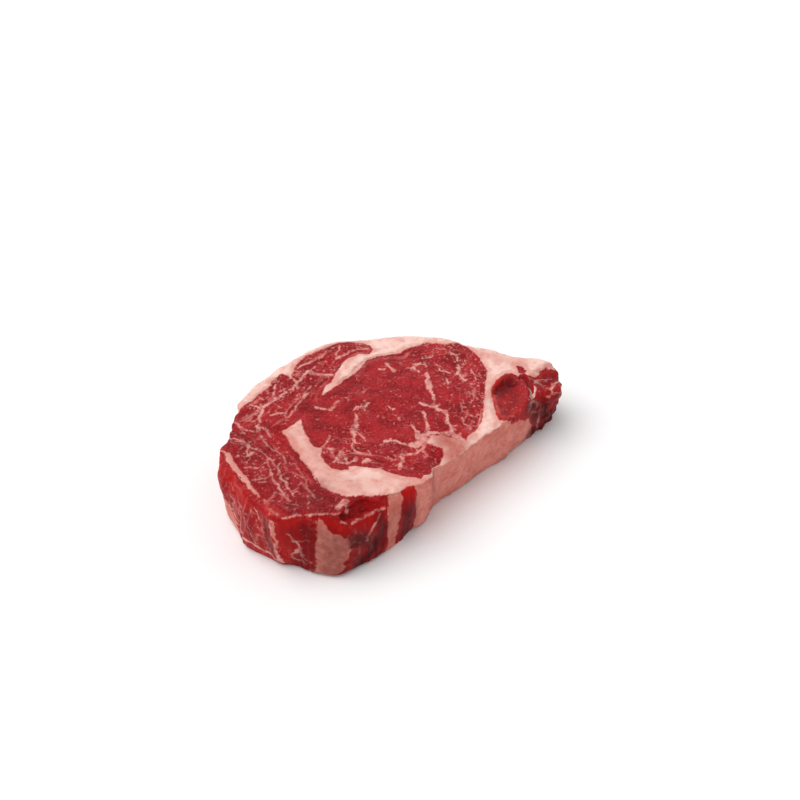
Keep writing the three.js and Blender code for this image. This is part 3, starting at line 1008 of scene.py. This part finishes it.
@dataclass(frozen=True)
class MoistMeat:
    """The finish of raw marbled beef.

    Attributes:
        lean: The muscle's own red.
        lean_deep: Its darker patches.
        lean_bright: Its fresh, brighter patches.
        side_lean: The deep, even red of lean on the side, partly darkened as painted shade of the
            side walls.
        warm: Thin, translucent lean with an orange cast.
        fat: Cream fat of the cut faces.
        fat_blush: Fat with a little red in it.
        side_fat: The pinker fat of the outer side, partly darkened as painted shade of the side
            walls.
        side_fat_deep: Its darker mottling.
        vein: Marbling.
        membrane: The thin purplish skin over some muscles.
        membrane_painted_sheen: Its pale grey painted sheen.
        hollow: Painted shade: the dark red laid in folds, the tear and over shaded side walls,
            partly over darker tissue.
        roughness_lean: Roughness of moist muscle.
        roughness_fat: Roughness of fat.
    """

    lean: Colour = linear(158, 30, 36)
    lean_deep: Colour = linear(122, 14, 20)
    lean_bright: Colour = linear(186, 52, 54)
    side_lean: Colour = linear(158, 14, 15)
    warm: Colour = linear(184, 24, 20)
    fat: Colour = linear(238, 201, 190)
    fat_blush: Colour = linear(216, 146, 135)
    side_fat: Colour = linear(212, 134, 120)
    side_fat_deep: Colour = linear(190, 102, 91)
    vein: Colour = linear(222, 156, 146)
    membrane: Colour = linear(86, 29, 31)
    membrane_painted_sheen: Colour = linear(164, 108, 99)
    hollow: Colour = linear(58, 4, 8)
    roughness_lean: float = 0.36
    roughness_fat: float = 0.46

    def red(self, graph: Graph, where: Sock, small: Sock) -> Sock:
        """Returns the colour of lean, with its marbling.

        Args:
            graph: The material's nodes.
            where: The place, in mm.
            small: The finest mottling, from 0 to 1.

        Returns:
            The colour.
        """
        marble, streaks = graph.value(MARBLE.value), graph.value("streaks")
        rosy, warm = graph.value(ROSY.value), graph.value(WARM.value)
        broad = graph.noise(where, 9) + (small - 0.5) * 0.7 + streaks * (marble * 0.16 + 0.05)
        red = graph.mix(graph.step(broad, 0.28, 0.66), self.lean_deep, self.lean)
        lively = small + streaks * (marble * 0.08 + 0.02)
        red = graph.mix(graph.step(lively, 0.46, 0.74) * 0.8, red, self.lean_bright)
        red = graph.mix(warm, red, self.warm)
        # The side's lean, partly darkened as painted shade of the side walls.
        red = graph.mix(rosy * 0.55, red, self.side_lean)

        clear = (1 - rosy * 0.45) * (1 - warm * 0.8)
        crowd = graph.noise(where, 8, 1)
        lines = graph.step(streaks, 0.3, 0.9) * marble
        flecks = graph.noise(where, 1.9, 1.5, 0.45) + crowd * 0.2 + marble * 0.07
        flecks = graph.step(flecks, 0.73, 0.9) * clear * (marble * 0.28 + 0.36)
        webs = graph.thread(where, 2.6, 0.04) * graph.step(crowd + marble * 0.1, 0.6, 0.8)
        crossed = graph.step(graph.noise(where, 4) + marble * 0.08, 0.55, 0.72)
        threads = graph.thread(where, 5.5, 0.026) * crossed
        drawn = graph.value("vein") + (graph.noise(where, 1.5, 2, 0.6) - 0.5) * 1.6
        faded = graph.step(graph.noise(where, 3.4), 0.3, 0.6) * 0.66 + 0.28
        veins = graph.step(drawn, -0.6, 0.4) * faded
        for share in (lines * 0.5, flecks, webs * clear * 0.2, threads * clear * 0.55, veins):
            red = graph.mix(share, red, self.vein)
        return red

    def pale(self, graph: Graph, where: Sock) -> Sock:
        """Returns the colour of fat at the place, in mm."""
        blush = graph.noise(where, 5, 4, 0.6) + graph.step(graph.value("lean"), -4.5, 0) * 0.22
        blush = blush + graph.value("streaks") * 0.06
        face = graph.mix(graph.step(blush, 0.42, 0.78) * 0.85, self.fat, self.fat_blush)
        mottle = graph.noise(where, 2.4, 4, 0.62) * 0.55 + graph.noise(where, 11) * 0.45
        mottle = graph.step(mottle, 0.34, 0.64)
        # The side's fat, pinker and partly darkened as painted shade of the side walls.
        side = graph.mix(mottle, self.side_fat, self.side_fat_deep)
        return graph.mix(graph.value(ROSY.value), face, side)

    def material(self) -> bpy.types.Material:
        """Returns the node material."""
        graph = Graph("moist_meat")
        place = graph.node("ShaderNodeTexCoord", output="Object")
        in_mm = {0: place, "Scale": 1 / MM}
        where = graph.node("ShaderNodeVectorMath", {"operation": "SCALE"}, in_mm)
        small = graph.noise(where, 1.0, 3, 0.65)
        ragged = graph.noise(where, 0.9) * 1.2 - 0.6
        muscle = graph.step(graph.value("lean") + ragged, -0.4, 0.4)
        # Painted shade, partly darker tissue, to be laid in the hollow colour.
        dark = graph.value(DARK.value) * (graph.noise(where, 3) * 0.9 + 0.5)
        skin = graph.value(MEMBRANE.value) * (graph.noise(where, 5) * 0.8 + 0.5)
        # Pale grey patches of painted sheen on the membrane.
        painted_sheen = graph.step(graph.noise(where, 2.6), 0.49, 0.7)

        colour = graph.mix(muscle, self.pale(graph, where), self.red(graph, where, small))
        membrane = graph.mix(painted_sheen * 0.7, self.membrane, self.membrane_painted_sheen)
        colour = graph.mix(skin, colour, membrane)
        colour = graph.mix(dark, colour, self.hollow)
        moist = (1 - graph.value(ROSY.value)) * (muscle * 0.06 + 0.1) + 0.02
        rough = muscle * (self.roughness_lean - self.roughness_fat) + self.roughness_fat
        height = small * 0.5 + graph.noise(where, 0.45) * 0.3 + (1 - muscle) * 0.3
        bump = {"Strength": 0.6, "Distance": 0.4 * MM, "Height": height}
        settings = {
            "Base Color": colour,
            "Roughness": rough + (small - 0.5) * 0.2,
            "Normal": graph.node("ShaderNodeBump", None, bump),
            "Subsurface Weight": 0.08,
            "Subsurface Radius": (1.0, 0.3, 0.2),
            "Subsurface Scale": 1.5 * MM,
            "Specular IOR Level": 0.06,
            "Coat Weight": moist,
            "Coat Roughness": 0.2,
            "IOR": 1.4,
        }
        graph.surface(graph.node("ShaderNodeBsdfPrincipled", None, settings))
        return graph.material


@dataclass
class Studio:
    """A plain pale floor, soft light and the camera.

    Attributes:
        eye: Where the camera stands, mm from the mark.
        target: What it looks at, mm from the mark.
        lens: Focal length on a 36 mm wide sensor, mm.
        floor_size: Width of the floor, m.
        floor_colour: Its colour.
        sky: Strength of the even light.
        key: Strength of the key light.
        key_spread: How wide the key light looks, in degrees.
        key_turn: Where the key light stands, degrees anticlockwise from +X seen from above.
        key_height: How high it stands, in degrees.
    """

    eye: tuple[float, float, float] = (-354.6, -483.0, 546.4)
    target: tuple[float, float, float] = (37.3, 37.0, 0.0)
    lens: float = 73.56
    floor_size: float = 60.0
    floor_colour: Colour = (0.92, 0.92, 0.92, 1.0)
    sky: float = 0.72
    key: float = 1.7
    key_spread: float = 58.0
    key_turn: float = 150.0
    key_height: float = 60.0

    def camera(self) -> None:
        """Adds the camera at the photograph's viewing angle."""
        data = bpy.data.cameras.new("camera")
        data.lens = self.lens
        data.sensor_width = 36.0
        data.clip_start = 0.01
        camera = bpy.data.objects.new("camera", data)
        mark = Vector((*MARK, 0)) * MM
        camera.location = Vector(self.eye) * MM + mark
        look = Vector(self.target) * MM + mark - camera.location
        camera.rotation_euler = look.to_track_quat("-Z", "Y").to_euler()
        bpy.context.scene.collection.objects.link(camera)
        bpy.context.scene.camera = camera

    def floor(self) -> None:
        """Adds the plain pale floor."""
        graph = Graph("pale_floor")
        graph.surface(graph.node("ShaderNodeBsdfDiffuse", None, {"Color": self.floor_colour}))
        mesh = bpy.data.meshes.new("floor")
        sheet = bmesh.new()
        bmesh.ops.create_grid(sheet, x_segments=1, y_segments=1, size=self.floor_size / 2)
        sheet.to_mesh(mesh)
        sheet.free()
        mesh.materials.append(graph.material)
        floor = bpy.data.objects.new("floor", mesh)
        bpy.context.scene.collection.objects.link(floor)

    def light(self) -> None:
        """Adds the even light and the key light from behind on the left."""
        world = bpy.data.worlds.new("studio")
        world.use_nodes = True
        backdrop = world.node_tree.nodes["Background"]
        backdrop.inputs["Color"].default_value = (1, 1, 1, 1)
        backdrop.inputs["Strength"].default_value = self.sky
        bpy.context.scene.world = world
        data = bpy.data.lights.new("key", "SUN")
        data.energy = self.key
        data.angle = math.radians(self.key_spread)
        key = bpy.data.objects.new("key", data)
        turn, height = math.radians(self.key_turn), math.radians(self.key_height)
        flat = math.cos(height)
        direction = Vector((flat * math.cos(turn), flat * math.sin(turn), math.sin(height)))
        key.rotation_euler = (-direction).to_track_quat("-Z", "Y").to_euler()
        bpy.context.scene.collection.objects.link(key)

    def build(self) -> None:
        """Adds the whole studio, with plain colours in the picture."""
        self.camera()
        self.floor()
        self.light()
        bpy.context.scene.view_settings.view_transform = "Standard"


def main() -> None:
    """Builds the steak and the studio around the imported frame."""
    logging.basicConfig(level=logging.INFO, format="%(name)s: %(message)s")
    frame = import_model()
    Studio().build()
    finish = MoistMeat().material()
    steak = RibeyeSteak().build(frame["nodes"]["steak"], finish)
    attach(steak, "root")
    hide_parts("steak")
    LOG.info("%s has %d faces", steak.name, len(steak.data.polygons))


if __name__ == "__main__":
    main()
